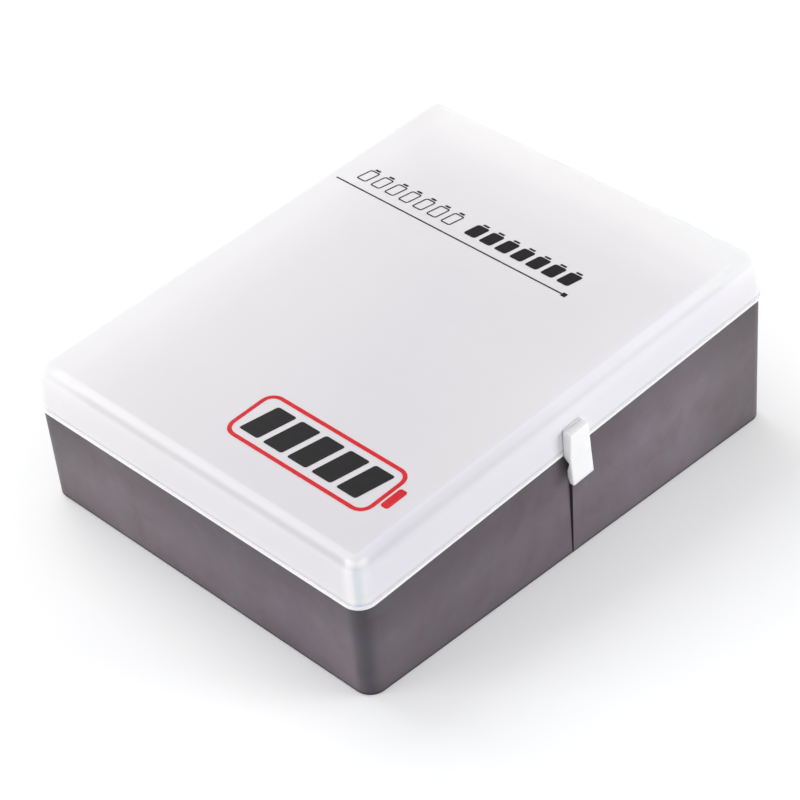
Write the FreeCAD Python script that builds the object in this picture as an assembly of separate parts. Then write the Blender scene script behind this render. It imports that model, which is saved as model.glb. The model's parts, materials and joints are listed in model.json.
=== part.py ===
"""Hinged storage case for dry cells: a dark wedge-shaped base, a frosted lid that turns on two pins along
one long side, a snap clip on the other long side, and six drop-in racks for the cells.

Each piece is drawn in the case's own frame and is then stood on the foot of the base.

Case frame: X runs across the case from the hinge side to the clip side, Y runs along it from the low end
to the high end, and Z is square to the lid. The plane Z = 0 is the parting plane, where the lid meets the
base. The walls are square to that plane. The foot of the base is cut on a slant, so the lid slopes down
towards the low end when the case stands on a table.

Row frame: the same axes, turned about X until the foot lies flat at Z = 0. The origin is the middle of
the foot. All lengths are in millimetres.
"""
import FreeCAD, Part
import math
import os

Vector = FreeCAD.Vector

# ------------------------------------------------------------------------------------------------
# Driving dimensions: the two shells
# ------------------------------------------------------------------------------------------------
CASE_LENGTH = 196.0         # outside of the base, low end to high end
CASE_WIDTH = 151.7          # outside of the base, hinge side to clip side
BASE_HEIGHT_LOW = 38.1      # base wall at the low end, along Z
BASE_HEIGHT_HIGH = 54.0     # base wall at the high end, along Z
CORNER_RADIUS = 6.0         # upright outer corners of the base
BASE_WALL = 2.4
FLOOR_THICKNESS = 2.0
FOOT_ROUND = 0.6            # rounding where the walls meet the foot

LID_HEIGHT = 17.6           # top of the lid above the parting plane
LID_WALL = 1.6
LID_OVERHANG = 0.3          # how far the lid's wall stands outside the base's wall, at the rim
LID_LEAN = 1.2              # how far the lid's sides lean inwards from rim to top
LID_EDGE_RADIUS = 5.0       # rounding around the lid's top
RIM_BEAD_HEIGHT = 1.0
RIM_BEAD_DEPTH = 0.4        # how far the bead stands out from the lid's wall
LID_SEAT_GAP = 0.2          # play between the lid's rim and the base's ledge

LIP_HEIGHT = 2.0            # locating lip of the base, inside the lid's wall
LIP_CLEARANCE = 0.3         # play between the lip and the lid's wall

# ------------------------------------------------------------------------------------------------
# Driving dimensions: the hinge
# ------------------------------------------------------------------------------------------------
HINGE_END_DISTANCE = 21.0   # from each end of the case to the nearest knuckle, along Y
KNUCKLE_RADIUS = 2.6
PIN_RADIUS = 1.0
PIN_PLAY = 0.05             # radial running clearance around the pin
PIN_INSET = 0.6             # how far each end of a pin lies inside its knuckle
LID_KNUCKLE_LENGTH = 18.0
BASE_KNUCKLE_LENGTH = 8.0
KNUCKLE_GAP = 0.4           # side play between neighbouring knuckles
KNUCKLE_CLEARANCE = 0.3     # play between a knuckle and the lid's bead
LID_OPEN_ANGLE = 110.0      # where the heels of the lid's knuckles meet the base
HEEL_CLEARANCE = 0.1        # play left at that stop

# ------------------------------------------------------------------------------------------------
# Driving dimensions: the snap clip and its catch
# ------------------------------------------------------------------------------------------------
CLIP_PLACE = -1.2           # middle of the clip, along Y
CLIP_HEAD_WIDTH = 8.6       # the clip's width at its top
CLIP_WIDTH = 10.0           # the clip's width from the rim down
CLIP_TOP = 9.5              # top of the clip above the parting plane, where its film hinge lies
CLIP_HEAD_REACH = 3.4       # front of the clip's head, out from the base's wall
CLIP_CREASE_REACH = 3.5     # front of the clip at the crease below the rim
CLIP_CREASE_DROP = 1.0
CLIP_LIP_REACH = 4.4        # front of the finger lip
CLIP_LIP_DROP = 10.9
CLIP_TOE_REACH = 2.8        # underside of the finger lip
CLIP_TOE_DROP = 10.6
CLIP_TAIL_REACH = 2.0       # back of the finger lip
CLIP_TAIL_DROP = 8.5
CLIP_NOSE_DROP = 5.6        # the snap nose, below the catch
CLIP_HOLLOW_REACH = 2.75    # back of the clip in the hollow that takes the catch
CLIP_HOLLOW_DROP = 2.4
CLIP_SHOULDER_REACH = 0.9   # start of the slope from the clip's back into that hollow
CLIP_SHOULDER_DROP = 0.7
CLIP_ROUND = 0.5            # rounding of the clip's upright front edges
CLIP_SIDE_GAP = 0.4         # gap in the rim bead on each side of the clip
FILM_REACH = 0.25           # length of the film hinge between the lid's wall and the clip
FILM_RADIUS = 0.35
FILM_THICKNESS = 0.4
FILM_PLAY = 0.05
FILM_SIDE_INSET = 0.3

CATCH_WIDTH = 6.0
CATCH_REACH = 1.5           # how far the catch stands out from the base's wall
CATCH_TOP_DROP = 1.4        # top of the catch's sloped lead-in
CATCH_EDGE_DROP = 3.0       # the catch's outer edge
CATCH_HEIGHT = 2.9          # from the top of the lead-in to the underside
CATCH_NOSE_PLAY = 0.35      # play between the catch and the clip's nose
RIB_WIDTH = 4.0             # tapered rib under the catch
RIB_REACH = 1.3
RIB_FOOT_REACH = 0.2

# ------------------------------------------------------------------------------------------------
# Driving dimensions: the cells and their racks
# ------------------------------------------------------------------------------------------------
D_CELL_DIAMETER = 34.2
C_CELL_DIAMETER = 26.2
AA_CELL_DIAMETER = 14.5
AAA_CELL_DIAMETER = 10.5
NINE_VOLT_WIDTH = 26.5
NINE_VOLT_DEPTH = 17.5

D_GRIP = 28.0               # how deep each kind of cell stands in its pocket
C_GRIP = 25.0
NINE_VOLT_GRIP = 24.0
AA_GRIP = 25.0
AAA_GRIP = 22.0

AA_ROWS = 3
AAA_RACKS = 2
AA_SLOT = 9.0               # gap through the scallops between neighbouring cells of a row
AAA_SLOT = 7.2

CELL_PLAY = 0.6             # pocket size over cell size
POCKET_WEB = 0.6            # least wall between neighbouring pockets
ROW_LAND = 1.3              # deck in front of the first row and behind the last
SIDE_LAND = 0.5             # deck beyond the first and last pocket of a row
MOUTH_BEVEL = 0.6           # bevel around each pocket's mouth
NINE_VOLT_CORNER = 2.0
DECK_THICKNESS = 1.6
SKIRT_THICKNESS = 1.4
POCKET_WALL = 1.2
POCKET_FLOOR = 1.4
RACK_SIDE_GAP = 0.5         # play between a rack and the base's walls
RACK_SEAT_GAP = 0.05        # play between a rack and the base's floor
RACK_EDGE_BEVEL = 0.5       # bevel around each rack's deck

# ------------------------------------------------------------------------------------------------
# Values worked out from the driving dimensions
# ------------------------------------------------------------------------------------------------
ALONG = Vector(0, 1, 0)
MID_DEPTH = (BASE_HEIGHT_LOW + BASE_HEIGHT_HIGH) / 2
SLOPE = (BASE_HEIGHT_HIGH - BASE_HEIGHT_LOW) / CASE_LENGTH
TILT = math.degrees(math.atan(SLOPE))
SLANT = math.cos(math.radians(TILT))
BURY = BASE_WALL / 4                            # how far an added lug runs into the wall that carries it
SPAN = CASE_LENGTH + CASE_WIDTH                 # longer than anything in the case
SMALL = 1e-4
LEAST_RADIUS = 0.3                              # the sharpest corner that is still rounded

CLIP_SIDE = CASE_WIDTH / 2                      # X of the base's outer face on the clip side
HINGE_SIDE = -CASE_WIDTH / 2
HINGE_REACH = LID_OVERHANG + RIM_BEAD_DEPTH + KNUCKLE_CLEARANCE + KNUCKLE_RADIUS
HINGE_X = HINGE_SIDE - HINGE_REACH
HINGE_HALF_SPAN = LID_KNUCKLE_LENGTH / 2 + KNUCKLE_GAP + BASE_KNUCKLE_LENGTH
HINGE_STATION = CASE_LENGTH / 2 - HINGE_END_DISTANCE - HINGE_HALF_SPAN     # middle of each hinge, along Y
LIP_INSET = LID_WALL - LID_OVERHANG + LIP_CLEARANCE
CLIP_NOSE_REACH = CATCH_REACH + CATCH_NOSE_PLAY


def lid_wall_reach(height):
    """How far the lid's outer face stands out from the base's wall, at a height over the parting plane."""
    share = (height - LID_SEAT_GAP) / (LID_HEIGHT - LID_SEAT_GAP)
    return LID_OVERHANG - LID_LEAN * share


CLIP_PIVOT_REACH = lid_wall_reach(CLIP_TOP) + FILM_REACH
CLIP_HEEL_REACH = LID_OVERHANG + FILM_REACH     # back of the clip at the rim

INNER_WIDTH = CASE_WIDTH - 2 * BASE_WALL
INNER_LENGTH = CASE_LENGTH - 2 * BASE_WALL
INNER_RADIUS = max(CORNER_RADIUS - BASE_WALL, LEAST_RADIUS)
RACK_WIDTH = INNER_WIDTH - 2 * RACK_SIDE_GAP
RACK_RADIUS = max(INNER_RADIUS - RACK_SIDE_GAP, LEAST_RADIUS)
CORE_RADIUS = max(RACK_RADIUS - SKIRT_THICKNESS, LEAST_RADIUS)
LID_RADIUS = CORNER_RADIUS + LID_OVERHANG
LID_EDGE_ROUND = min(LID_EDGE_RADIUS, LID_RADIUS - LID_LEAN - LEAST_RADIUS)


# ------------------------------------------------------------------------------------------------
# Drawing aids
# ------------------------------------------------------------------------------------------------
def rounded_outline(width, length, radius, height):
    """A closed rectangle with round corners, centred on Z, at a height."""
    x = width / 2
    y = length / 2
    cut = radius * (1 - math.sqrt(0.5))
    corners = [(x, y, -1, -1), (-x, y, 1, -1), (-x, -y, 1, 1), (x, -y, -1, 1)]
    arcs = []
    for index, (cx, cy, sx, sy) in enumerate(corners):
        beside = Vector(cx, cy + sy * radius, height)
        over = Vector(cx + sx * radius, cy, height)
        middle = Vector(cx + sx * cut, cy + sy * cut, height)
        start, end = (beside, over) if index % 2 == 0 else (over, beside)
        arcs.append((start, middle, end))
    edges = []
    for index, (start, middle, end) in enumerate(arcs):
        edges.append(Part.Arc(start, middle, end).toShape())
        following = arcs[(index + 1) % len(arcs)][0]
        edges.append(Part.LineSegment(end, following).toShape())
    return Part.Wire(edges)


def rounded_block(width, length, radius, low, high):
    """An upright block with round corners between two heights."""
    face = Part.Face(rounded_outline(width, length, radius, low))
    return face.extrude(Vector(0, 0, high - low))


def leaning_block(width, length, radius, lean, low, high):
    """A block with round corners whose sides all lean inwards by the same amount."""
    bottom = rounded_outline(width, length, radius, low)
    top = rounded_outline(width - 2 * lean, length - 2 * lean, radius - lean, high)
    return Part.makeLoft([bottom, top], True, True)


def block(low_x, high_x, low_y, high_y, low_z, high_z):
    """A plain box between two corners."""
    return Part.makeBox(high_x - low_x, high_y - low_y, high_z - low_z, Vector(low_x, low_y, low_z))


def side_profile(points, low_y, high_y):
    """A shape drawn as (x, z) points seen from the low end, and drawn out along Y."""
    corners = [Vector(x, low_y, z) for x, z in points]
    face = Part.Face(Part.makePolygon(corners + corners[:1]))
    return face.extrude(Vector(0, high_y - low_y, 0))


def front_profile(points, low_x, high_x):
    """A shape drawn as (y, z) points seen from the clip side, and drawn out along X."""
    corners = [Vector(low_x, y, z) for y, z in points]
    face = Part.Face(Part.makePolygon(corners + corners[:1]))
    return face.extrude(Vector(high_x - low_x, 0, 0))


def rod(x, z, radius, low_y, high_y):
    """A round bar along Y."""
    return Part.makeCylinder(radius, high_y - low_y, Vector(x, low_y, z), ALONG)


def join(shapes):
    """All the shapes as one solid."""
    return shapes[0].multiFuse(shapes[1:]).removeSplitter()


def under_foot(lift):
    """Everything below a plane that lies parallel to the foot, a lift above it."""
    ground = block(-SPAN, SPAN, -SPAN, SPAN, -SPAN, 0)
    ground.rotate(Vector(0, 0, 0), Vector(1, 0, 0), -TILT)
    ground.translate(Vector(0, 0, lift / SLANT - MID_DEPTH))
    return ground


def foot_height(y, lift=0.0):
    """Z of the plane parallel to the foot, a lift above it, at a place along the case."""
    return lift / SLANT - MID_DEPTH - SLOPE * y


def edges_at(shape, height):
    """The edges whose ends both lie at a height."""
    return [e for e in shape.Edges if all(abs(v.Z - height) < SMALL for v in e.Vertexes)]


def edges_on_foot(shape):
    """The edges whose ends both lie on the foot."""
    return [e for e in shape.Edges if all(abs(v.Z - foot_height(v.Y)) < SMALL for v in e.Vertexes)]


# ------------------------------------------------------------------------------------------------
# Hinge
# ------------------------------------------------------------------------------------------------
def hinge_span(station):
    """Low and high Y of one hinge's row of knuckles."""
    return station - HINGE_HALF_SPAN, station + HINGE_HALF_SPAN


def pin_bore(station):
    low, high = hinge_span(station)
    return rod(HINGE_X, 0, PIN_RADIUS + PIN_PLAY, low - BURY, high + BURY)


def base_knuckles(station):
    """The two outer knuckles of a hinge, each with a braced arm into the base's wall."""
    low, high = hinge_span(station)
    root = HINGE_SIDE + BURY
    brace = [(HINGE_X, 0), (root, 0), (root, -KNUCKLE_RADIUS - HINGE_REACH), (HINGE_X, -KNUCKLE_RADIUS)]
    pieces = []
    for start in (low, high - BASE_KNUCKLE_LENGTH):
        end = start + BASE_KNUCKLE_LENGTH
        pieces.append(rod(HINGE_X, 0, KNUCKLE_RADIUS, start, end))
        pieces.append(side_profile(brace, start, end))
    return pieces


def lid_knuckle(station):
    """The middle knuckle of a hinge, its braced arm into the lid's wall, and the heel that stops the lid."""
    start = station - LID_KNUCKLE_LENGTH / 2
    end = station + LID_KNUCKLE_LENGTH / 2
    root = HINGE_SIDE - LID_OVERHANG + LID_LEAN + BURY
    top = KNUCKLE_RADIUS + HINGE_REACH
    brace = [(HINGE_X, LID_SEAT_GAP), (root, LID_SEAT_GAP), (root, top), (HINGE_X, KNUCKLE_RADIUS)]
    heel = block(HINGE_X, HINGE_SIDE - HEEL_CLEARANCE, start, end, -KNUCKLE_RADIUS, 0)
    heel.rotate(Vector(HINGE_X, 0, 0), ALONG, LID_OPEN_ANGLE)
    return [rod(HINGE_X, 0, KNUCKLE_RADIUS, start, end), side_profile(brace, start, end), heel]


def hinge_pin(station):
    low, high = hinge_span(station)
    return rod(HINGE_X, 0, PIN_RADIUS, low + PIN_INSET, high - PIN_INSET)


# ------------------------------------------------------------------------------------------------
# Base, with its catch
# ------------------------------------------------------------------------------------------------
def clip_catch():
    """The catch that the clip snaps under, and the rib that tapers away below it down to the foot."""
    root = CLIP_SIDE - BURY
    underside = -CATCH_TOP_DROP - CATCH_HEIGHT
    nose = [(root, -CATCH_TOP_DROP), (CLIP_SIDE, -CATCH_TOP_DROP),
            (CLIP_SIDE + CATCH_REACH, -CATCH_EDGE_DROP), (CLIP_SIDE + CATCH_REACH, underside),
            (root, underside)]
    low = CLIP_PLACE - RIB_WIDTH / 2
    heel = foot_height(low) + RIB_FOOT_REACH + FOOT_ROUND
    rib = [(root, underside), (CLIP_SIDE + RIB_REACH, underside), (CLIP_SIDE + RIB_FOOT_REACH, heel),
           (CLIP_SIDE, heel - RIB_FOOT_REACH), (root, heel - RIB_FOOT_REACH)]
    return [side_profile(nose, CLIP_PLACE - CATCH_WIDTH / 2, CLIP_PLACE + CATCH_WIDTH / 2),
            side_profile(rib, low, CLIP_PLACE + RIB_WIDTH / 2)]


def base_shell():
    """The tray with its slanted foot, locating lip, hinge knuckles and catch."""
    deep = -SPAN / 2
    outside = rounded_block(CASE_WIDTH, CASE_LENGTH, CORNER_RADIUS, deep, 0).cut(under_foot(0))
    outside = outside.makeFillet(FOOT_ROUND, edges_on_foot(outside))
    lip = rounded_block(CASE_WIDTH - 2 * LIP_INSET, CASE_LENGTH - 2 * LIP_INSET,
                        CORNER_RADIUS - LIP_INSET, -BASE_WALL, LIP_HEIGHT)
    cavity = rounded_block(INNER_WIDTH, INNER_LENGTH, INNER_RADIUS, deep, SPAN / 2)
    cavity = cavity.cut(under_foot(FLOOR_THICKNESS))
    lugs = clip_catch()
    for station in (-HINGE_STATION, HINGE_STATION):
        lugs += base_knuckles(station)
    shell = join([outside, lip] + lugs).cut(cavity)
    for station in (-HINGE_STATION, HINGE_STATION):
        shell = shell.cut(pin_bore(station))
    return shell


# ------------------------------------------------------------------------------------------------
# Lid and clip
# ------------------------------------------------------------------------------------------------
def film_hinge():
    """The thin strip that carries the clip on the lid's wall, with a round edge for the clip to turn on."""
    low = CLIP_PLACE - CLIP_HEAD_WIDTH / 2 + FILM_SIDE_INSET
    high = CLIP_PLACE + CLIP_HEAD_WIDTH / 2 - FILM_SIDE_INSET
    pivot = CLIP_SIDE + CLIP_PIVOT_REACH
    root = pivot - FILM_REACH - LID_WALL / 2
    half = FILM_THICKNESS / 2
    return [rod(pivot, CLIP_TOP, FILM_RADIUS, low, high),
            block(root, pivot, low, high, CLIP_TOP - half, CLIP_TOP + half)]


def lid_shell():
    """The frosted cover with its rim bead, hinge knuckles and film hinge."""
    width = CASE_WIDTH + 2 * LID_OVERHANG
    length = CASE_LENGTH + 2 * LID_OVERHANG
    outside = leaning_block(width, length, LID_RADIUS, LID_LEAN, LID_SEAT_GAP, LID_HEIGHT)
    outside = outside.makeFillet(LID_EDGE_ROUND, edges_at(outside, LID_HEIGHT))
    ceiling = LID_HEIGHT - LID_WALL
    hollow = leaning_block(width - 2 * LID_WALL, length - 2 * LID_WALL, LID_RADIUS - LID_WALL,
                           LID_LEAN, LID_SEAT_GAP, ceiling)
    inner_round = max(LID_EDGE_ROUND - LID_WALL, LEAST_RADIUS)
    hollow = hollow.makeFillet(inner_round, edges_at(hollow, ceiling))
    bead = rounded_block(width + 2 * RIM_BEAD_DEPTH, length + 2 * RIM_BEAD_DEPTH,
                         LID_RADIUS + RIM_BEAD_DEPTH, LID_SEAT_GAP, LID_SEAT_GAP + RIM_BEAD_HEIGHT)
    gap = CLIP_WIDTH / 2 + CLIP_SIDE_GAP
    bead = bead.cut(block(CLIP_SIDE, SPAN, CLIP_PLACE - gap, CLIP_PLACE + gap, -SPAN, SPAN))
    lugs = film_hinge()
    for station in (-HINGE_STATION, HINGE_STATION):
        lugs += lid_knuckle(station)
    shell = join([outside, bead] + lugs).cut(hollow)
    for station in (-HINGE_STATION, HINGE_STATION):
        shell = shell.cut(pin_bore(station))
    return shell


def clip_front_outline():
    """The clip as (y, z) points seen from the front: tapered above the rim, parallel below it."""
    half = CLIP_WIDTH / 2
    head = CLIP_HEAD_WIDTH / 2
    right = [(head, CLIP_TOP), (half, 0), (half, -SPAN)]
    left = [(-y, z) for y, z in reversed(right)]
    return [(CLIP_PLACE + y, z) for y, z in right + left]


def snap_clip():
    """The clip that hangs from the film hinge, hooks under the catch and ends in a finger lip."""
    profile = [(CLIP_PIVOT_REACH, CLIP_TOP),
               (CLIP_HEAD_REACH, CLIP_TOP),
               (CLIP_CREASE_REACH, -CLIP_CREASE_DROP),
               (CLIP_LIP_REACH, -CLIP_LIP_DROP),
               (CLIP_TOE_REACH, -CLIP_TOE_DROP),
               (CLIP_TAIL_REACH, -CLIP_TAIL_DROP),
               (CLIP_NOSE_REACH, -CLIP_NOSE_DROP),
               (CLIP_HOLLOW_REACH, -CLIP_HOLLOW_DROP),
               (CLIP_SHOULDER_REACH, -CLIP_SHOULDER_DROP),
               (CLIP_HEEL_REACH, 0)]
    points = [(CLIP_SIDE + reach, height) for reach, height in profile]
    clip = side_profile(points, CLIP_PLACE - CLIP_WIDTH, CLIP_PLACE + CLIP_WIDTH)
    clip = clip.common(front_profile(clip_front_outline(), CLIP_SIDE, SPAN))
    fronts = [e for e in clip.Edges if is_clip_front(e)]
    clip = clip.makeFillet(CLIP_ROUND, fronts)
    pivot = CLIP_SIDE + CLIP_PIVOT_REACH
    bore = rod(pivot, CLIP_TOP, FILM_RADIUS + FILM_PLAY, CLIP_PLACE - CLIP_WIDTH, CLIP_PLACE + CLIP_WIDTH)
    return clip.cut(bore)


def is_clip_front(edge):
    """Whether an edge runs down one side of the clip's front."""
    start, end = [v.Point for v in edge.Vertexes]
    on_front = min(start.x, end.x) > CLIP_SIDE + CLIP_HEAD_REACH - SMALL
    return on_front and abs(start.z - end.z) > SMALL


# ------------------------------------------------------------------------------------------------
# Racks
# ------------------------------------------------------------------------------------------------
def across(bore):
    """How many pockets fit across a rack, and their pitch."""
    room = RACK_WIDTH - 2 * SIDE_LAND
    count = math.floor(room / (bore + POCKET_WEB))
    return count, room / count


def pocket_places(bore):
    """X of each pocket across a rack."""
    count, pitch = across(bore)
    return [(index - (count - 1) / 2) * pitch for index in range(count)]


def rack_length(depth, rows):
    """Y length of a rack of so many rows."""
    return rows * depth + (rows - 1) * POCKET_WEB + 2 * ROW_LAND


def row_places(middle, depth, rows):
    """Y of each row of a rack about its middle."""
    pitch = depth + POCKET_WEB
    return [middle + (index - (rows - 1) / 2) * pitch for index in range(rows)]


def pocket_bottom(middle, length):
    """Z of a rack's pocket floors: one thickness over the floor at the rack's low end."""
    return foot_height(middle - length / 2, FLOOR_THICKNESS + RACK_SEAT_GAP) + POCKET_FLOOR


def rack_body(middle, length, deck):
    """A rack's outside: a block with a bevelled top that stands on the base's slanted floor."""
    body = rounded_block(RACK_WIDTH, length, RACK_RADIUS, -SPAN / 2, deck)
    body = body.makeChamfer(RACK_EDGE_BEVEL, edges_at(body, deck))
    body.translate(Vector(0, middle, 0))
    return body.cut(under_foot(FLOOR_THICKNESS + RACK_SEAT_GAP))


def rack_core(middle, length, deck):
    """The hollow under a rack's deck, inside its skirt."""
    inset = 2 * SKIRT_THICKNESS
    core = rounded_block(RACK_WIDTH - inset, length - inset, CORE_RADIUS, -SPAN / 2, deck - DECK_THICKNESS)
    core.translate(Vector(0, middle, 0))
    return core


def round_pocket(x, y, bore, bottom, deck):
    """A round pocket with a bevelled mouth."""
    shaft = Part.makeCylinder(bore / 2, deck - bottom, Vector(x, y, bottom))
    mouth = Part.makeCone(bore / 2, bore / 2 + MOUTH_BEVEL, MOUTH_BEVEL, Vector(x, y, deck - MOUTH_BEVEL))
    return [shaft, mouth]


def single_rack(middle, bore, grip):
    """A rack with one row of separate round pockets, each in its own cup."""
    length = rack_length(bore, 1)
    bottom = pocket_bottom(middle, length)
    deck = bottom + grip
    pockets = []
    cups = []
    for x in pocket_places(bore):
        pockets += round_pocket(x, middle, bore, bottom, deck)
        cups.append(Part.makeCylinder(bore / 2 + POCKET_WALL, grip, Vector(x, middle, bottom - POCKET_FLOOR)))
    return cored_rack(middle, length, deck, pockets, cups)


def cored_rack(middle, length, deck, pockets, cups):
    """A rack's outside less the hollow around its cups, less its pockets."""
    core = rack_core(middle, length, deck).cut(join(cups))
    return rack_body(middle, length, deck).cut(core).cut(join(pockets))


def nine_volt_rack(middle):
    """A rack with one row of flat-sided pockets for 9-volt blocks."""
    width = NINE_VOLT_WIDTH + CELL_PLAY
    depth = NINE_VOLT_DEPTH + CELL_PLAY
    length = rack_length(depth, 1)
    bottom = pocket_bottom(middle, length)
    deck = bottom + NINE_VOLT_GRIP
    pockets = []
    cups = []
    for x in pocket_places(width):
        pocket = rounded_block(width, depth, NINE_VOLT_CORNER, bottom, deck)
        mouth = leaning_block(width, depth, NINE_VOLT_CORNER, -MOUTH_BEVEL, deck - MOUTH_BEVEL, deck)
        cup = rounded_block(width + 2 * POCKET_WALL, depth + 2 * POCKET_WALL, NINE_VOLT_CORNER + POCKET_WALL,
                            bottom - POCKET_FLOOR, deck - POCKET_FLOOR)
        for shape in (pocket, mouth, cup):
            shape.translate(Vector(x, middle, 0))
        pockets += [pocket, mouth]
        cups.append(cup)
    return cored_rack(middle, length, deck, pockets, cups)


def scalloped_rack(middle, bore, slot, grip, rows):
    """A rack with rows of round pockets that run into each other through a slot, like scalloped troughs."""
    length = rack_length(bore, rows)
    bottom = pocket_bottom(middle, length)
    deck = bottom + grip
    places = pocket_places(bore)
    pockets = []
    for y in row_places(middle, bore, rows):
        for x in places:
            pockets += round_pocket(x, y, bore, bottom, deck)
        pockets.append(block(places[0], places[-1], y - slot / 2, y + slot / 2, bottom, deck))
    troughs = block(-SPAN, SPAN, middle - length / 2, middle + length / 2, bottom - POCKET_FLOOR, deck)
    return cored_rack(middle, length, deck, pockets, [troughs])


def rack_plan():
    """Name, length and maker of each rack, from the high end to the low end."""
    d_bore = D_CELL_DIAMETER + CELL_PLAY
    c_bore = C_CELL_DIAMETER + CELL_PLAY
    aa_bore = AA_CELL_DIAMETER + CELL_PLAY
    aaa_bore = AAA_CELL_DIAMETER + CELL_PLAY
    plan = [("d_cell_rack", rack_length(d_bore, 1), lambda y: single_rack(y, d_bore, D_GRIP)),
            ("c_cell_rack", rack_length(c_bore, 1), lambda y: single_rack(y, c_bore, C_GRIP)),
            ("nine_volt_rack", rack_length(NINE_VOLT_DEPTH + CELL_PLAY, 1), nine_volt_rack),
            ("aa_cell_rack", rack_length(aa_bore, AA_ROWS),
             lambda y: scalloped_rack(y, aa_bore, AA_SLOT, AA_GRIP, AA_ROWS))]
    left = INNER_LENGTH - sum(length for _, length, _ in plan) - (len(plan) + AAA_RACKS + 1) * RACK_SIDE_GAP
    rows = math.floor((left / AAA_RACKS - 2 * ROW_LAND + POCKET_WEB) / (aaa_bore + POCKET_WEB))
    for index in range(AAA_RACKS):
        plan.append((f"aaa_cell_rack_{index + 1}", rack_length(aaa_bore, rows),
                     lambda y: scalloped_rack(y, aaa_bore, AAA_SLOT, AAA_GRIP, rows)))
    return plan


def racks():
    """All the racks, spread evenly along the base."""
    plan = rack_plan()
    gap = (INNER_LENGTH - sum(length for _, length, _ in plan)) / (len(plan) + 1)
    top = INNER_LENGTH / 2
    made = {}
    for name, length, maker in plan:
        top -= gap
        made[name] = maker(top - length / 2)
        top -= length
    return made


# ------------------------------------------------------------------------------------------------
# The whole case
# ------------------------------------------------------------------------------------------------
def stand_up(shape):
    """A piece moved from the case frame to the row frame."""
    placed = shape.copy()
    placed.translate(Vector(0, 0, MID_DEPTH))
    placed.rotate(Vector(0, 0, 0), Vector(1, 0, 0), TILT)
    return placed


pieces = {"base_shell": base_shell(),
          "lid": lid_shell(),
          "lid_clip": snap_clip(),
          "hinge_pin_low": hinge_pin(-HINGE_STATION),
          "hinge_pin_high": hinge_pin(HINGE_STATION)}
pieces.update(racks())

os.makedirs("parts", exist_ok=True)
for node, shape in pieces.items():
    stand_up(shape).exportStep(f"parts/{node}.step")
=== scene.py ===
import bpy
import json
import math
from mathutils import Matrix, Vector


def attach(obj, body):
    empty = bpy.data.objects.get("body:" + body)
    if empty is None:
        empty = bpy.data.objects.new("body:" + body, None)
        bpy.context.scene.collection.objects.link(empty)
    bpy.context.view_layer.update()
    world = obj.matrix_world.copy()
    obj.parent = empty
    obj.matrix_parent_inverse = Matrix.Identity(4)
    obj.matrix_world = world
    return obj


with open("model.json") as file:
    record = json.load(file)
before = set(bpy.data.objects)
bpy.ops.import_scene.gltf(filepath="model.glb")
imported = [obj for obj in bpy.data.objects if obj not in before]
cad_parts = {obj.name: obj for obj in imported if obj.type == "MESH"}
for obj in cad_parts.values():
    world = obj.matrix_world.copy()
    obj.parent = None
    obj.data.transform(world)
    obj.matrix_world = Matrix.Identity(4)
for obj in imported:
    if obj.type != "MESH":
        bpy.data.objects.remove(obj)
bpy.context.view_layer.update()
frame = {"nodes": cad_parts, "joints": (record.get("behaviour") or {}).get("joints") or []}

MM = 0.001
NODES = frame["nodes"]
JOINTS = {joint["name"]: joint for joint in frame["joints"]}

# ------------------------------------------------------------------------------------------------
# The case's own directions: the lid lies square to UP, and ALONG runs from the low to the high end
# ------------------------------------------------------------------------------------------------
ALONG = -Vector(JOINTS["lid_hinge"]["axis"]).normalized()
ACROSS = Vector((1, 0, 0))
UP = ACROSS.cross(ALONG)
TILT = math.atan2(ALONG.z, ALONG.y)


def reach(node, direction):
    """The least and the most that a node reaches along a direction."""
    spans = [vertex.co.dot(direction) for vertex in NODES[node].data.vertices]
    return min(spans), max(spans)


LID_TOP = reach("lid", UP)[1]
LID_HEIGHT = 17.6 * MM                          # top of the lid over the parting plane
PARTING = LID_TOP - LID_HEIGHT
RIM_HALF_WIDTH = reach("lid", ACROSS)[1]        # the bead round the rim is the lid's widest outline
RIM_HALF_LENGTH = reach("lid", ALONG)[1]
RIM_RADIUS = 6.7 * MM
BASE_HALF_WIDTH = 75.85 * MM
BASE_HALF_LENGTH = 98.0 * MM
RIB_FLANK = -3.42 * MM                          # the low flank of the rib under the clip, along the case
RIB_SKIN = 0.27 * MM                            # a point this close to the flank takes the painted shade beside the rib
WALLS_RUN = RIM_HALF_WIDTH + RIM_HALF_LENGTH    # half the length of the low wall and the clip wall together
LOW_RUN = 2 * RIM_HALF_WIDTH / MM               # length of the low wall, in millimetres


# ------------------------------------------------------------------------------------------------
# Modelling aids
# ------------------------------------------------------------------------------------------------
def deselect():
    """Nothing is selected and nothing is active."""
    bpy.ops.object.select_all(action="DESELECT")
    bpy.context.view_layer.objects.active = None


def only(piece):
    """The piece alone is selected and active."""
    deselect()
    piece.select_set(True)
    bpy.context.view_layer.objects.active = piece


def pick(piece, wanted):
    """The points of a piece that pass a test are selected, in edit mode."""
    only(piece)
    bpy.ops.object.mode_set(mode="EDIT")
    bpy.ops.mesh.select_mode(type="VERT")
    bpy.ops.mesh.select_all(action="DESELECT")
    bpy.ops.object.mode_set(mode="OBJECT")
    for vertex in piece.data.vertices:
        vertex.select = wanted(vertex.co)
    bpy.ops.object.mode_set(mode="EDIT")


def copies(piece, steps):
    """The piece and copies of it moved by each step, each with its own mesh."""
    made = [piece]
    for step in steps:
        only(piece)
        bpy.ops.object.duplicate()
        bpy.ops.transform.translate(value=step)
        made.append(bpy.context.object)
    return made


def joined(name, pieces):
    """The pieces as one object at the origin."""
    deselect()
    for piece in pieces:
        piece.select_set(True)
    bpy.context.view_layer.objects.active = pieces[0]
    bpy.ops.object.join()
    whole = bpy.context.object
    whole.name = name
    bpy.ops.object.transform_apply(location=True, rotation=True, scale=True)
    return whole


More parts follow.
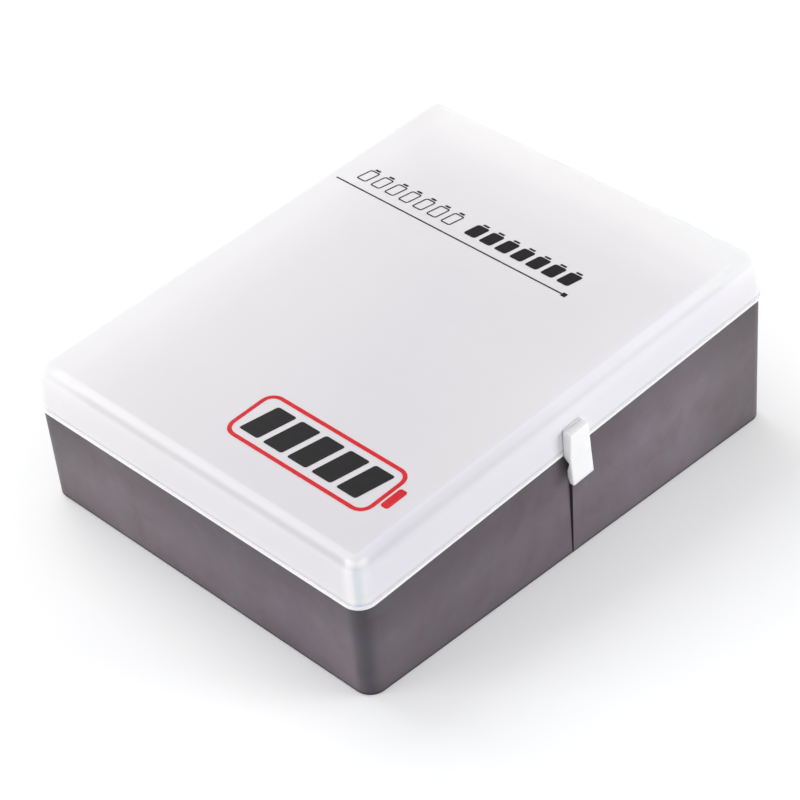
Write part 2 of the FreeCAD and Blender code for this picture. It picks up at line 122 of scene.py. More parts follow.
# ------------------------------------------------------------------------------------------------
# Colours
# ------------------------------------------------------------------------------------------------
COOL = (0.98, 0.995, 1.02)      # turns a grey a little blue


def linear(red, green, blue):
    """A colour written in display values from 0 to 255, as the shaders take it."""
    def channel(value):
        share = value / 255
        return share / 12.92 if share <= 0.04045 else ((share + 0.055) / 1.055) ** 2.4
    return channel(red), channel(green), channel(blue)


def cool(level):
    """A factor that turns a colour a little blue."""
    return tuple(level * share for share in COOL)


def paint(colour):
    """One number for a grey, or three for a colour, as a socket takes it."""
    red, green, blue = colour if isinstance(colour, tuple) else (colour, colour, colour)
    return red, green, blue, 1.0


# ------------------------------------------------------------------------------------------------
# Materials
# ------------------------------------------------------------------------------------------------
NEAR_CORNER_FADE = (-2.5 * MM, -0.5 * MM)       # the near corner begins just short of the walls' round


class Finish:
    """A material's node tree, with short ways to add what the finishes share."""

    def __init__(self, name):
        self.material = bpy.data.materials.new(name)
        self.material.use_nodes = True
        self.tree = self.material.node_tree
        self.shader = self.tree.nodes["Principled BSDF"]
        self.place = self.tree.nodes.new("ShaderNodeTexCoord").outputs["Object"]

    def set(self, **values):
        """What is the same all over the surface is set on the shader's own sockets."""
        for socket, value in values.items():
            self.shader.inputs[socket.replace("_", " ")].default_value = value

    def link(self, source, target):
        """One socket feeds another."""
        self.tree.links.new(source, target)

    def feed(self, socket, source):
        """One of the shader's sockets takes what varies over the surface."""
        self.link(source, self.shader.inputs[socket])

    def noise(self, features, detail=2.0, roughness=0.5):
        """Cloudy noise of so many features to the metre."""
        noise = self.tree.nodes.new("ShaderNodeTexNoise")
        noise.inputs["Scale"].default_value = features
        noise.inputs["Detail"].default_value = detail
        noise.inputs["Roughness"].default_value = roughness
        self.link(self.place, noise.inputs["Vector"])
        return noise.outputs["Fac"]

    def ramp(self, source, stops):
        """Colours by a value from 0 to 1."""
        ramp = self.tree.nodes.new("ShaderNodeValToRGB")
        elements = ramp.color_ramp.elements
        while len(elements) < len(stops):
            elements.new(0.5)
        for element, (position, colour) in zip(elements, stops):
            element.position = position
            element.color = paint(colour)
        self.link(source, ramp.inputs["Fac"])
        return ramp.outputs["Color"]

    def bands(self, source, full, stops):
        """Colours by a length up to a full one, each stop a length in millimetres and a grey or a colour."""
        share = self.calc("DIVIDE", source, full * MM)
        return self.ramp(share, [(length / full, colour) for length, colour in stops])

    def blend(self, factor, first, second, mode="MIX"):
        """Two colours mixed."""
        mix = self.tree.nodes.new("ShaderNodeMix")
        mix.data_type = "RGBA"
        mix.blend_type = mode
        for name, kind, value in (("Factor", "VALUE", factor), ("A", "RGBA", first), ("B", "RGBA", second)):
            target = next(item for item in mix.inputs if item.name == name and item.type == kind)
            if not isinstance(value, (float, int, tuple)):
                self.link(value, target)
            elif kind == "RGBA":
                target.default_value = paint(value)
            else:
                target.default_value = value
        return next(item for item in mix.outputs if item.type == "RGBA")

    def times(self, *colours):
        """The product of colours."""
        product = colours[0]
        for colour in colours[1:]:
            product = self.blend(1.0, product, colour, "MULTIPLY")
        return product

    def where(self, mask, factor):
        """A factor where a mask is one, which fades to no change where the mask is nought."""
        return self.blend(mask, 1.0, factor)

    def calc(self, operation, *values):
        """One step of arithmetic on sockets and numbers."""
        node = self.tree.nodes.new("ShaderNodeMath")
        node.operation = operation
        for socket, value in zip(node.inputs, values):
            if isinstance(value, (float, int)):
                socket.default_value = value
            else:
                self.link(value, socket)
        return node.outputs["Value"]

    def both(self, first, second):
        """A mask that is one where two masks are."""
        return self.calc("MULTIPLY", first, second)

    def spread(self, source, low, high, least=0.0, most=1.0):
        """A value spread from low to high while the source goes from least to most."""
        node = self.tree.nodes.new("ShaderNodeMapRange")
        node.inputs["From Min"].default_value = least
        node.inputs["From Max"].default_value = most
        node.inputs["To Min"].default_value = low
        node.inputs["To Max"].default_value = high
        self.link(source, node.inputs["Value"])
        return node.outputs["Result"]

    def rise(self, source, start, end):
        """A mask that rises from nought at one length to one at another."""
        return self.spread(source, 0.0, 1.0, start, end)

    def fall(self, source, start, end):
        """A mask that falls from one at one length to nought at another."""
        return self.spread(source, 1.0, 0.0, start, end)

    def grain(self, features, depth):
        """Fine relief of so many features to the metre."""
        node = self.tree.nodes.new("ShaderNodeBump")
        node.inputs["Distance"].default_value = depth
        self.link(self.noise(features), node.inputs["Height"])
        return node.outputs["Normal"]

    def case_axes(self):
        """How far a point lies across the case, along it, and over the parting plane, square to the lid."""
        turned = self.tree.nodes.new("ShaderNodeMapping")
        turned.inputs["Rotation"].default_value = (-TILT, 0, 0)
        turned.inputs["Location"].default_value = (0, 0, -PARTING)
        self.link(self.place, turned.inputs["Vector"])
        parts = self.tree.nodes.new("ShaderNodeSeparateXYZ")
        self.link(turned.outputs["Vector"], parts.inputs["Vector"])
        return parts.outputs["X"], parts.outputs["Y"], parts.outputs["Z"]

    def over_floor(self):
        """How far a point lies over the floor."""
        parts = self.tree.nodes.new("ShaderNodeSeparateXYZ")
        self.link(self.place, parts.inputs["Vector"])
        return parts.outputs["Z"]

    def depth_inside_rim(self):
        """How far a point lies inside the round-cornered outline of the lid's rim, seen square to the lid."""
        across, along, _ = self.case_axes()
        over_x = self.calc("SUBTRACT", self.calc("ABSOLUTE", across), RIM_HALF_WIDTH - RIM_RADIUS)
        over_y = self.calc("SUBTRACT", self.calc("ABSOLUTE", along), RIM_HALF_LENGTH - RIM_RADIUS)
        outside_x = self.calc("MAXIMUM", over_x, 0.0)
        outside_y = self.calc("MAXIMUM", over_y, 0.0)
        square = self.calc("ADD", self.calc("POWER", outside_x, 2.0), self.calc("POWER", outside_y, 2.0))
        corner = self.calc("SQRT", square)
        inside = self.calc("MINIMUM", self.calc("MAXIMUM", over_x, over_y), 0.0)
        return self.calc("SUBTRACT", RIM_RADIUS, self.calc("ADD", corner, inside))

    def near_corner_bands(self, stops):
        """Colours by a length round the near corner: below nought on the low wall, above on the clip wall."""
        across, along, _ = self.case_axes()
        run = self.calc("ADD", self.calc("ADD", across, along), WALLS_RUN)
        return self.bands(run, 2 * WALLS_RUN / MM, [(LOW_RUN + length, colour) for length, colour in stops])

    def at_near_corner(self):
        """One on the near corner's round walls and edges and nought elsewhere."""
        across, along, _ = self.case_axes()
        over_x = self.calc("SUBTRACT", across, RIM_HALF_WIDTH - RIM_RADIUS)
        over_y = self.calc("SUBTRACT", self.calc("MULTIPLY", along, -1.0), RIM_HALF_LENGTH - RIM_RADIUS)
        return self.rise(self.calc("MINIMUM", over_x, over_y), *NEAR_CORNER_FADE)


# ------------------------------------------------------------------------------------------------
# The base's finish. Each stop is a length in millimetres and a factor for the colour, and each pair of
# lengths is where a change starts and ends.
# ------------------------------------------------------------------------------------------------
BASE_CLOUDS = [(0.32, linear(94, 86, 92)), (0.45, linear(102, 92, 98)), (0.55, linear(100, 94, 101)),
               (0.68, linear(109, 98, 104))]
BASE_ROUGHNESS = (0.40, 0.54)
BASE_GRAIN = 0.02 * MM
# Painted shade just under the rim and painted light at mid-height, by depth below the parting plane
BASE_HEIGHT_LIGHT_SHADE_FULL = 60
BASE_HEIGHT_LIGHT_SHADE = [(0, 0.72), (8, 0.80), (15, 0.98), (22, 1.10), (30, 1.07), (48, 1.02), (54, 0.95)]
# Painted light and shade along the low wall and the clip wall, darkest at the near corner
BASE_NEAR_WALLS_LIGHT_SHADE = [
    (-150, (0.96, 0.95, 0.90)), (-116, (1.22, 1.16, 1.14)), (-60, 1.05), (-30, (1.03, 0.97, 1.01)),
    (-9, 1.18), (-5.6, 1.14), (-4.8, 0.86), (-3.6, 0.74), (-2.2, 0.65), (-0.5, (0.44, 0.47, 0.61)),
    (1, (0.46, 0.50, 0.62)), (2.4, (0.62, 0.65, 0.72)), (4, (0.77, 0.77, 0.80)), (12, 0.89),
    (40, (0.88, 0.86, 0.88)), (110, (1.09, 1.05, 1.07)), (153, 1.32), (178, (0.95, 0.94, 0.91)),
    (190, (0.88, 0.86, 0.83))]
# Painted shade at the foot, by height over the floor
BASE_FOOT_SHADE_FULL = 8
BASE_FOOT_SHADE = [(0.8, 0.35), (1.6, 0.90), (4.0, 0.96), (7.0, 1.0)]
RIB_FLANK_SHADE = 0.22               # how much of the colour is left in the painted shade on the rib's flank


def base_plastic():
    """Satin dark warm grey, clouded where the melt cooled unevenly, with painted shade under the rim, at the
    foot and on the rib's flank, painted light lower on the walls, and painted light and shade along the near
    walls and at the near corner."""
    finish = Finish("base_plastic_satin")
    tint = finish.ramp(finish.noise(75, detail=4.0, roughness=0.62), BASE_CLOUDS)
    across, along, height = finish.case_axes()
    height_light_and_shade = finish.bands(finish.calc("MULTIPLY", height, -1.0), BASE_HEIGHT_LIGHT_SHADE_FULL, BASE_HEIGHT_LIGHT_SHADE)
    on_clip_wall = finish.rise(across, BASE_HALF_WIDTH - RIM_RADIUS, BASE_HALF_WIDTH)
    on_low_wall = finish.fall(along, -BASE_HALF_LENGTH, RIM_RADIUS - BASE_HALF_LENGTH)
    on_near_walls = finish.calc("MAXIMUM", on_clip_wall, on_low_wall)
    near_walls_light_shade = finish.where(on_near_walls, finish.near_corner_bands(BASE_NEAR_WALLS_LIGHT_SHADE))
    foot_shade = finish.bands(finish.over_floor(), BASE_FOOT_SHADE_FULL, BASE_FOOT_SHADE)
    off_flank = finish.calc("ABSOLUTE", finish.calc("SUBTRACT", along, RIB_FLANK))
    at_flank = finish.calc("LESS_THAN", off_flank, RIB_SKIN)
    clip_side = finish.calc("GREATER_THAN", across, BASE_HALF_WIDTH / 2)
    flank_shade = finish.where(finish.both(at_flank, clip_side), RIB_FLANK_SHADE)
    finish.feed("Base Color", finish.times(tint, height_light_and_shade, near_walls_light_shade, foot_shade, flank_shade))
    finish.feed("Roughness", finish.spread(finish.noise(140, detail=3.0), *BASE_ROUGHNESS))
    finish.feed("Normal", finish.grain(5200, BASE_GRAIN))
    return finish.material


# ------------------------------------------------------------------------------------------------
# The lid's finish, with the same kind of stops and pairs
# ------------------------------------------------------------------------------------------------
# What the lid and the clip share
MILKY = {"Subsurface_Weight": 1.0, "Subsurface_Radius": (1.0, 1.0, 1.0), "Specular_IOR_Level": 0.15}

LID_GLOW = 0.6 * MM             # how far light spreads under the surface
LID_ROUGHNESS = (0.42, 0.50)
LID_GRAIN = 0.01 * MM
LID_CLOUDS = [(0.3, 0.992), (0.7, 1.008)]

# The lid's milky grey with painted light and shade, by distance from the walls
MILK_LIGHT_FULL = 110
MILK_AND_LIGHT = [(0, linear(250, 249, 250)), (9, linear(247, 246, 247)), (14, linear(244, 242, 243)),
        (24, linear(236, 233, 235)), (39, linear(230, 227, 229)), (60, linear(227, 224, 226)),
        (100, linear(224, 221, 224))]
MILK_LIGHT_PAST_HINGE = 7 * MM        # the hinge wall counts as this much further out than it is,
MILK_LIGHT_PAST_CLIP = 27 * MM        # and the clip wall as this much,
MILK_LIGHT_LOW_SHARE = 0.8            # plus this share of the way from the middle to the low end
MILK_LIGHT_BLEND = 8 * MM
MILK_LIGHT_WALL_TOP = 16 * MM         # under this height each step down a wall
MILK_LIGHT_WALL_GAIN = 2.0            # counts as so many steps further in,
MILK_LIGHT_HINGE_FADE = (-72 * MM, -60 * MM)          # but not on the hinge side

# Painted light and shade on the rounded top edges, by depth inside the rim
EDGE_FULL = 14
END_EDGE = [(1.7, 1.03), (2.1, 0.93), (2.4, 0.90), (2.9, 0.93), (3.6, 1.09), (4.2, 1.14), (5.8, 1.12),
            (6.8, 1.0)]
SIDE_EDGE = [(1.7, cool(1.035)), (2.2, cool(0.98)), (2.8, cool(1.03)), (3.4, cool(1.11)),
             (5.8, cool(1.10)), (6.8, cool(1.02)), (9.0, 1.0)]
END_TO_SIDE = (-4 * MM, 4 * MM)                 # by how much the side lies nearer than the end, at a corner
HINGE_SIDE = 0.95               # one grey of painted shade for the hinge side's edge
HINGE_SIDE_FADE = (-70 * MM, -62 * MM)

HIDDEN_WALL = 2.2 * MM          # how deep the walls lie at the hinge and at the high end
HIDDEN_WALL_GREY = 0.78

# Painted light and shade at the near corner by the length round it, with a painted glint on its edge
CORNER_WALL = [(-8, 1.0), (-6, 1.05), (-4.6, 1.14), (-3.2, 1.30), (-2, 1.25), (-1.4, (1.11, 1.15, 1.30)),
               (-0.8, (1.07, 1.15, 1.38)), (0.8, (1.08, 1.17, 1.38)), (2, (1.16, 1.20, 1.28)),
               (3.4, 1.20), (4.6, 1.07), (6.5, 1.0)]
CORNER_WALL_TOP = (14.8 * MM, 16.4 * MM)
GLINT = [(-7.9, 1.0), (-5.5, 1.06), (-3.8, 1.30), (-2.7, 1.50), (-1.6, 1.50), (0, (1.22, 1.20, 1.30)),
         (1.4, 1.40), (2.7, 1.37), (3.8, 1.25), (5.8, 1.12), (8, 1.0)]
GLINT_DEPTH = [(1.7, 0.0), (2.1, 0.2), (2.5, 0.75), (3.0, 1.0), (3.6, 0.55), (4.3, 0.0)]

# Painted light and shade at the high end, and at its corner with the clip side
HIGH_END = (0.99, 0.975, 0.96)
HIGH_END_FADE = (70 * MM, 88 * MM)
HIGH_WALL = 0.94
HIGH_WALL_ALONG = (82 * MM, 94 * MM)
HIGH_WALL_ACROSS = (66 * MM, 72 * MM)
HIGH_WALL_FOOT = (4 * MM, 10 * MM)
HIGH_WALL_HEAD = (14 * MM, 15.5 * MM)
HIGH_TOP = 1.04
HIGH_TOP_ALONG = (30 * MM, 80 * MM)
HIGH_TOP_ACROSS = (30 * MM, 58 * MM)
HIGH_TOP_HEIGHT = (16.4 * MM, 17.2 * MM)

# Painted light and shade on the end edges where they near the hinge side
HINGE_CORNER = [(1.7, 1.0), (2.1, 1.06), (3.0, 1.06), (3.6, 1.0), (4.2, 0.965), (5.8, 0.965), (6.8, 1.0)]
HINGE_CORNER_FROM = (-66 * MM, -60 * MM)
HINGE_CORNER_TO = (-58 * MM, -46 * MM)

# Painted light and shade on the clip side's rounded edge, by the length from the low end
CLIP_FILLET_DEPTH = [(2.4, 0.0), (3.0, 1.0), (5.0, 1.0), (6.2, 0.0)]
CLIP_FILLET_ACROSS = (66 * MM, 69 * MM)
CLIP_FILLET_FULL = 200
CLIP_FILLET = [(9, 1.0), (22, 0.96), (70, 0.96), (145, 1.015), (180, 1.06)]

# Painted highlight on the bead and painted shade beside it, by the wall's height over the parting plane
WALL_FULL = 18
WALL = [(0.2, 0.9), (0.35, 1.4), (1.30, 1.4), (1.45, 0.84), (1.8, 0.82), (2.2, 0.97), (3.2, 1.03), (4.6, 1.0)]


def lid_milk_and_light(finish):
    """Milky grey with painted light where the walls carry light in and painted shade over the dark racks."""
    across, along, height = finish.case_axes()
    below_top = finish.calc("MAXIMUM", finish.calc("SUBTRACT", MILK_LIGHT_WALL_TOP, height), 0.0)
    gain = finish.spread(across, 0.0, MILK_LIGHT_WALL_GAIN, *MILK_LIGHT_HINGE_FADE)
    down_wall = finish.calc("MULTIPLY", below_top, gain)
    from_hinge = finish.calc("ADD", across, RIM_HALF_WIDTH + MILK_LIGHT_PAST_HINGE)
    from_high = finish.calc("SUBTRACT", RIM_HALF_LENGTH, along)
    to_low = finish.calc("MAXIMUM", finish.calc("MULTIPLY", along, -1.0), 0.0)
    from_clip = finish.calc("ADD", finish.calc("SUBTRACT", RIM_HALF_WIDTH + MILK_LIGHT_PAST_CLIP, across),
                            finish.calc("MULTIPLY", to_low, MILK_LIGHT_LOW_SHARE))
    from_hidden = finish.calc("SMOOTH_MIN", from_hinge, from_high, MILK_LIGHT_BLEND)
    from_walls = finish.calc("SMOOTH_MIN", from_hidden, from_clip, MILK_LIGHT_BLEND)
    return finish.bands(finish.calc("ADD", from_walls, down_wall), MILK_LIGHT_FULL, MILK_AND_LIGHT)


def lid_edges(finish, depth):
    """Light and shade along the rounded top edges: one run of greys at the ends, a bluer one at the sides."""
    across, along, _ = finish.case_axes()
    from_end = finish.calc("SUBTRACT", RIM_HALF_LENGTH, finish.calc("ABSOLUTE", along))
    from_side = finish.calc("SUBTRACT", RIM_HALF_WIDTH, finish.calc("ABSOLUTE", across))
    sideways = finish.rise(finish.calc("SUBTRACT", from_end, from_side), *END_TO_SIDE)
    end_edge = finish.bands(depth, EDGE_FULL, END_EDGE)
    side_edge = finish.bands(depth, EDGE_FULL, SIDE_EDGE)
    edges = finish.blend(sideways, end_edge, side_edge)
    return finish.blend(finish.rise(across, *HINGE_SIDE_FADE), HINGE_SIDE, edges)


def lid_hidden_walls(finish):
    """The walls at the hinge and at the high end, greyer with painted shade so that they keep their form on a
    pale ground.
    """
    across, along, _ = finish.case_axes()
    past_hinge = finish.calc("SUBTRACT", finish.calc("MULTIPLY", across, -1.0), RIM_HALF_WIDTH - HIDDEN_WALL)
    past_high = finish.calc("SUBTRACT", along, RIM_HALF_LENGTH - HIDDEN_WALL)
    on_walls = finish.rise(finish.calc("MAXIMUM", past_hinge, past_high), 0.0, HIDDEN_WALL / 2)
    return finish.where(on_walls, HIDDEN_WALL_GREY)


def lid_near_corner(finish, depth):
    """Painted light and shade on the near corner's wall, and a painted glint on its rounded top edge."""
    _, _, height = finish.case_axes()
    near = finish.at_near_corner()
    on_wall = finish.both(near, finish.fall(height, *CORNER_WALL_TOP))
    on_fillet = finish.both(near, finish.bands(depth, EDGE_FULL, GLINT_DEPTH))
    return finish.times(finish.where(on_wall, finish.near_corner_bands(CORNER_WALL)),
                        finish.where(on_fillet, finish.near_corner_bands(GLINT)))


def lid_high_end(finish):
    """Painted light and shade at the high end: warmer there, with painted shade on the clip wall and painted
    light on the top at the corner between them.
    """
    across, along, height = finish.case_axes()
    end = finish.where(finish.rise(along, *HIGH_END_FADE), HIGH_END)
    corner = finish.both(finish.rise(along, *HIGH_WALL_ALONG), finish.rise(across, *HIGH_WALL_ACROSS))
    middle = finish.both(finish.rise(height, *HIGH_WALL_FOOT), finish.fall(height, *HIGH_WALL_HEAD))
    wall = finish.where(finish.both(corner, middle), HIGH_WALL)
    quarter = finish.both(finish.rise(along, *HIGH_TOP_ALONG), finish.rise(across, *HIGH_TOP_ACROSS))
    top = finish.where(finish.both(quarter, finish.rise(height, *HIGH_TOP_HEIGHT)), HIGH_TOP)
    return finish.times(end, wall, top)


def lid_hinge_corner(finish, depth):
    """Softer painted light and shade on the end edges where they near the hinge side."""
    across, _, _ = finish.case_axes()
    by_hinge = finish.both(finish.fall(across, *HINGE_CORNER_TO), finish.rise(across, *HINGE_CORNER_FROM))
    return finish.where(by_hinge, finish.bands(depth, EDGE_FULL, HINGE_CORNER))


def lid_clip_fillet(finish, depth):
    """Painted light and shade on the clip side's rounded edge, which turns whiter from the low to the high
    end.
    """
    across, along, _ = finish.case_axes()
    on_clip_side = finish.rise(across, *CLIP_FILLET_ACROSS)
    on_fillet = finish.both(finish.bands(depth, EDGE_FULL, CLIP_FILLET_DEPTH), on_clip_side)
    from_low = finish.calc("ADD", along, RIM_HALF_LENGTH)
    return finish.where(on_fillet, finish.bands(from_low, CLIP_FILLET_FULL, CLIP_FILLET))


def lid_plastic():
    """Frosted milky plastic, with painted light and shade by its walls, edges, corners and the dark racks."""
    finish = Finish("lid_plastic_frosted")
    finish.set(Subsurface_Scale=LID_GLOW, **MILKY)
    _, _, height = finish.case_axes()
    depth = finish.depth_inside_rim()
    wall = finish.bands(height, WALL_FULL, WALL)
    clouds = finish.ramp(finish.noise(28), LID_CLOUDS)
    tint = finish.times(lid_milk_and_light(finish), lid_edges(finish, depth), lid_hidden_walls(finish),
                        lid_near_corner(finish, depth), lid_high_end(finish), lid_hinge_corner(finish, depth),
                        lid_clip_fillet(finish, depth), wall, clouds)
    finish.feed("Base Color", finish.blend(1.0, tint, 1.0, "DARKEN"))
    finish.feed("Roughness", finish.spread(finish.noise(220), *LID_ROUGHNESS))
    finish.feed("Normal", finish.grain(4200, LID_GRAIN))
    return finish.material


# ------------------------------------------------------------------------------------------------
# The other finishes: plain plastic, steel and ink, and what is given to each CAD node
# ------------------------------------------------------------------------------------------------
CLIP_WHITES = [(0.3, linear(253, 253, 254)), (0.7, linear(255, 254, 255))]
CLIP_ROUGHNESS = (0.35, 0.45)
CLIP_GLOW = 1.2 * MM            # the clip is thicker than the lid, so that light spreads further in it
RACK_GREYS = [(0.3, linear(84, 80, 84)), (0.7, linear(92, 87, 92))]
RACK_ROUGHNESS = (0.40, 0.55)
STEEL_GREYS = [(0.3, linear(160, 160, 163)), (0.7, linear(190, 190, 192))]
STEEL_ROUGHNESS = (0.25, 0.40)
INK_BLACKS = [(0.35, linear(12, 9, 11)), (0.65, linear(20, 16, 18))]
INK_REDS = [(0.35, linear(206, 18, 30)), (0.65, linear(222, 28, 40))]
INK_ROUGHNESS = (0.30, 0.42)
INK_GLOSS = 0.2


def plain(name, tints, tint_clouds, roughness, rough_clouds, detail=2.0, **values):
    """A finish whose colour and roughness wander a little, each with so many clouds to the metre."""
    finish = Finish(name)
    finish.set(**values)
    finish.feed("Base Color", finish.ramp(finish.noise(tint_clouds, detail), tints))
    finish.feed("Roughness", finish.spread(finish.noise(rough_clouds), *roughness))
    return finish.material


def clip_plastic():
    """The same plastic as the lid's, thick enough to look white."""
    return plain("clip_plastic_white", CLIP_WHITES, 300, CLIP_ROUGHNESS, 400,
                 Subsurface_Scale=CLIP_GLOW, **MILKY)


def rack_plastic():
    """Plain dark grey plastic."""
    return plain("rack_plastic_grey", RACK_GREYS, 120, RACK_ROUGHNESS, 260, detail=3.0)


def pin_steel():
    """Bright drawn wire."""
    return plain("pin_steel_drawn", STEEL_GREYS, 900, STEEL_ROUGHNESS, 1500, Metallic=1.0)


def ink(name, tints):
    """Screen-printed ink, a little uneven in its cover."""
    return plain(name, tints, 420, INK_ROUGHNESS, 900, detail=3.0, Specular_IOR_Level=INK_GLOSS)


def give(node, material):
    """A CAD node takes a finish."""
    slots = NODES[node].data.materials
    for index in range(len(slots)):
        slots[index] = material


FINISHES = {"base": base_plastic(),
            "lid": lid_plastic(),
            "clip": clip_plastic(),
            "rack": rack_plastic(),
            "pin": pin_steel(),
            "black_ink": ink("ink_black", INK_BLACKS),
            "red_ink": ink("ink_red", INK_REDS)}
give("base_shell", FINISHES["base"])
give("lid", FINISHES["lid"])
give("lid_clip", FINISHES["clip"])
for node in NODES:
    if "_rack" in node:
        give(node, FINISHES["rack"])
    if node.startswith("hinge_pin"):
        give(node, FINISHES["pin"])


# ------------------------------------------------------------------------------------------------
# Prints on the lid: drawn flat at the height of its top, then tilted with it
# ------------------------------------------------------------------------------------------------
INK_SINK = 0.02 * MM            # the ink's underside lies this far inside the plastic
INK_THICKNESS = 0.06 * MM
SLANT = 0.20                    # how far the slanted marks lean along X for each unit of their height
CORNER_STEPS = 5                # straight edges in each round corner of a mark

RULE_LOW_X = -68.6 * MM
RULE_HIGH_X = 38.8 * MM
RULE_Y = 39.0 * MM
RULE_WIDTH = 0.55 * MM
RULE_END = 1.9 * MM             # side of the square at the rule's end

CELL_LOW_Y = 43.0 * MM
CELL_HEIGHT = 6.7 * MM
CELL_CORNER = 0.9 * MM
CELL_NUB = 0.8 * MM             # height of the terminal drawn on top of each cell
CELL_NUB_GAP = 0.45 * MM
CELLS = 7
THIN_LOW_X = -63.0 * MM
THIN_PITCH = 6.75 * MM
THIN_WIDTH = 4.5 * MM
THIN_STROKE = 0.5 * MM
BOLD_LOW_X = -11.5 * MM
BOLD_PITCH = 7.0 * MM
BOLD_WIDTH = 5.2 * MM

GAUGE_LOW_X = -3.0 * MM
GAUGE_HIGH_X = 60.0 * MM
GAUGE_LOW_Y = -79.0 * MM
GAUGE_HIGH_Y = -56.0 * MM
GAUGE_STROKE = 1.5 * MM
GAUGE_CORNER = 5.0 * MM
GAUGE_MARGIN = 2.6 * MM         # between the frame and the bars inside it
GAUGE_BARS = 5
GAUGE_BAR_GAP = 2.4 * MM
GAUGE_NUB_WIDTH = 3.2 * MM
GAUGE_NUB_HEIGHT = 9.5 * MM


def mark(low_x, high_x, low_y, high_y, corner=0.0, slant=0.0, stroke=0.0):
    """A flat rectangle with round corners, slanted or not, filled or only outlined by a stroke."""
    deselect()
    middle = ((low_x + high_x) / 2, (low_y + high_y) / 2, LID_TOP - INK_SINK)
    bpy.ops.mesh.primitive_plane_add(size=1.0, location=middle)
    piece = bpy.context.object
    bpy.ops.transform.resize(value=(high_x - low_x, high_y - low_y, 1))
    bpy.ops.object.transform_apply(location=True, rotation=True, scale=True)
    pick(piece, lambda point: point.y > middle[1])
    bpy.ops.transform.translate(value=(slant * (high_y - low_y), 0, 0))
    bpy.ops.mesh.select_all(action="SELECT")
    if corner:
        bpy.ops.mesh.bevel(offset=corner, offset_type="OFFSET", segments=CORNER_STEPS, affect="VERTICES")
        bpy.ops.mesh.select_all(action="SELECT")
    if stroke:
        bpy.ops.mesh.inset(thickness=stroke)
        bpy.ops.mesh.delete(type="FACE")
    bpy.ops.object.mode_set(mode="OBJECT")
    thicken = piece.modifiers.new("thickness", "SOLIDIFY")
    thicken.thickness = INK_THICKNESS
    thicken.offset = 1.0
    bpy.ops.object.modifier_apply(modifier=thicken.name)
    return piece


def print_on_lid(name, pieces, material):
    """The marks become one print, laid on the slanted lid, and ride on it."""
    whole = joined(name, pieces)
    whole.rotation_euler = (TILT, 0, 0)
    bpy.ops.object.transform_apply(location=False, rotation=True, scale=False)
    whole.data.materials.clear()
    whole.data.materials.append(material)
    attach(whole, "lid_body")


def rule():
    """A thin rule with a small square at its end."""
    square_low_x = RULE_HIGH_X - RULE_END
    line = mark(RULE_LOW_X, square_low_x, RULE_Y - RULE_WIDTH / 2, RULE_Y + RULE_WIDTH / 2)
    square = mark(square_low_x, RULE_HIGH_X, RULE_Y - RULE_END / 2, RULE_Y + RULE_END / 2)
    return [line, square]


def cell_marks(low_x, width, pitch, stroke=0.0):
    """A row of dry cells seen from the side, each with its terminal on top."""
    high_y = CELL_LOW_Y + CELL_HEIGHT
    nub_low = high_y + CELL_NUB_GAP
    nub_x = low_x + SLANT * (nub_low - CELL_LOW_Y)
    body = mark(low_x, low_x + width, CELL_LOW_Y, high_y, CELL_CORNER, SLANT, stroke)
    nub = mark(nub_x + width / 4, nub_x + width * 3 / 4, nub_low, nub_low + CELL_NUB, slant=SLANT)
    cell = joined("cell_mark", [body, nub])
    return copies(cell, [(pitch * index, 0, 0) for index in range(1, CELLS)])


def gauge_frame():
    """The outline of a lying cell with its terminal at the right end."""
    nub_x = GAUGE_HIGH_X + GAUGE_STROKE / 2
    nub_low = (GAUGE_LOW_Y + GAUGE_HIGH_Y - GAUGE_NUB_HEIGHT) / 2
    nub_high = nub_low + GAUGE_NUB_HEIGHT
    body = mark(GAUGE_LOW_X, GAUGE_HIGH_X, GAUGE_LOW_Y, GAUGE_HIGH_Y, GAUGE_CORNER, stroke=GAUGE_STROKE)
    nub = mark(nub_x, nub_x + GAUGE_NUB_WIDTH, nub_low, nub_high, GAUGE_NUB_WIDTH / 3)
    return [body, nub]


def gauge_bars():
    """The slanted charge bars inside the frame."""
    inset = GAUGE_STROKE + GAUGE_MARGIN
    low_y = GAUGE_LOW_Y + inset
    high_y = GAUGE_HIGH_Y - inset
    low_x = GAUGE_LOW_X + inset
    room = GAUGE_HIGH_X - inset - low_x - SLANT * (high_y - low_y)
    pitch = (room + GAUGE_BAR_GAP) / GAUGE_BARS
    bar = mark(low_x, low_x + pitch - GAUGE_BAR_GAP, low_y, high_y, GAUGE_MARGIN / 3, SLANT)
    return copies(bar, [(pitch * index, 0, 0) for index in range(1, GAUGE_BARS)])


BLACK = FINISHES["black_ink"]
RED = FINISHES["red_ink"]
print_on_lid("print_rule", rule(), BLACK)
print_on_lid("print_cells_thin", cell_marks(THIN_LOW_X, THIN_WIDTH, THIN_PITCH, THIN_STROKE), BLACK)
print_on_lid("print_cells_bold", cell_marks(BOLD_LOW_X, BOLD_WIDTH, BOLD_PITCH), BLACK)
print_on_lid("print_gauge_frame", gauge_frame(), RED)
print_on_lid("print_gauge_bars", gauge_bars(), BLACK)


# ------------------------------------------------------------------------------------------------
# Stage, light and camera
# ------------------------------------------------------------------------------------------------
FLOOR_SIDE = 12.0               # in metres, as the lamps' places are
FLOOR_GREY = 0.90
FLOOR_ROUGHNESS = 0.9
FLOOR_LIFT = 0.18               # how much brighter the floor is for the camera alone
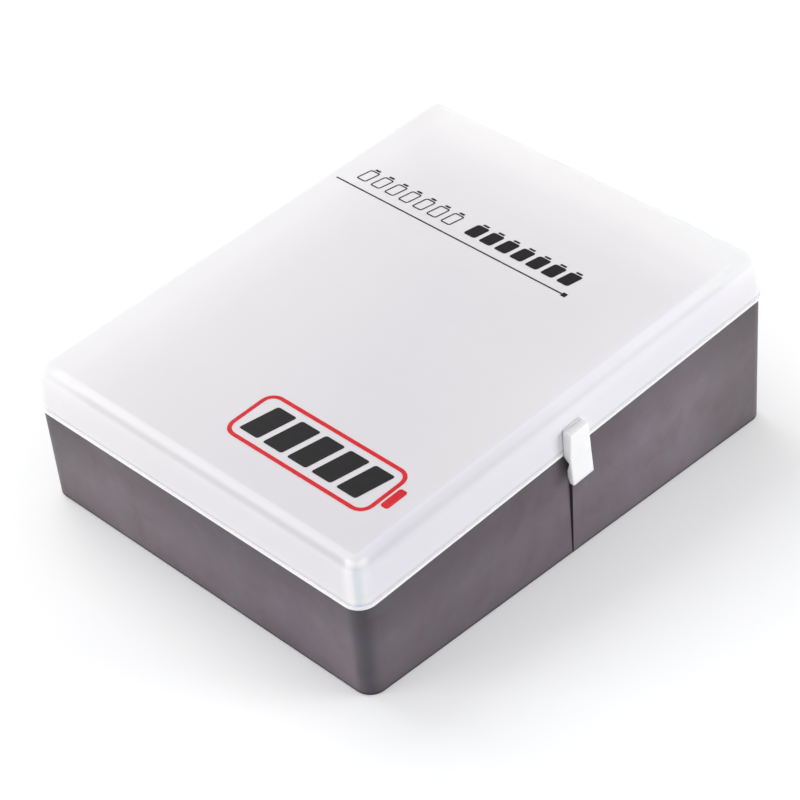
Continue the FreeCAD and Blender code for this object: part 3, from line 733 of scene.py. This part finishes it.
# Soft boxes: name, place, the point that they face, side in metres and power in watts
LAMPS = [("light_upper_left", (-0.72, 0, 0.96), (0, 0, 0.05), 0.9, 5.1),
         ("light_left", (-0.8, -1.55, 0.45), (0, 0, 0.03), 1.0, 12.6),
         ("light_right", (1.4, 1.2, 0.45), (0, 0, 0.03), 1.0, 18.5),
         ("light_back", (-1.2, 1.2, 0.50), (0, 0, 0.03), 1.2, 1.5)]
SKY_COLOUR = (0.97, 0.98, 1.0)
SKY_STRENGTH = 0.60
CAMERA_PLACE = Vector((498.0, -505.1, 570.9)) * MM
CAMERA_AIM = Vector((17.59, -23.90, 45.0)) * MM
CAMERA_ROLL = math.radians(1.48)
CAMERA_LENS = 118.2
CAMERA_NEAREST = 0.05
CAMERA_FURTHEST = 50
SENSOR = 36.0

bpy.ops.mesh.primitive_plane_add(size=FLOOR_SIDE, location=(0, 0, 0))
floor = bpy.context.object
floor.name = "studio_floor"
floor_finish = Finish("studio_floor_white")
floor_finish.set(Base_Color=paint(FLOOR_GREY), Roughness=FLOOR_ROUGHNESS, Emission_Color=paint(1.0))
seen = floor_finish.tree.nodes.new("ShaderNodeLightPath").outputs["Is Camera Ray"]
floor_finish.feed("Emission Strength", floor_finish.calc("MULTIPLY", seen, FLOOR_LIFT))
floor.data.materials.append(floor_finish.material)


def soft_light(name, place, aim, size, power):
    """A square soft box that faces a point."""
    lamp = bpy.data.lights.new(name, "AREA")
    lamp.shape = "SQUARE"
    lamp.size = size
    lamp.energy = power
    holder = bpy.data.objects.new(name, lamp)
    bpy.context.scene.collection.objects.link(holder)
    holder.location = place
    holder.rotation_euler = (Vector(aim) - Vector(place)).to_track_quat("-Z", "Y").to_euler()


for lamp_settings in LAMPS:
    soft_light(*lamp_settings)

world = bpy.data.worlds.new("studio_world")
bpy.context.scene.world = world
world.use_nodes = True
background = world.node_tree.nodes["Background"]
background.inputs["Color"].default_value = paint(SKY_COLOUR)
background.inputs["Strength"].default_value = SKY_STRENGTH

camera = bpy.data.objects.new("camera", bpy.data.cameras.new("camera"))
bpy.context.scene.collection.objects.link(camera)
camera.data.sensor_width = SENSOR
camera.data.lens = CAMERA_LENS
camera.data.clip_start = CAMERA_NEAREST
camera.data.clip_end = CAMERA_FURTHEST
camera.location = CAMERA_PLACE
turn = (CAMERA_AIM - CAMERA_PLACE).to_track_quat("-Z", "Y").to_matrix().to_4x4()
camera.rotation_euler = (turn @ Matrix.Rotation(-CAMERA_ROLL, 4, "Z")).to_euler()
bpy.context.scene.camera = camera

bpy.context.scene.view_settings.view_transform = "Standard"
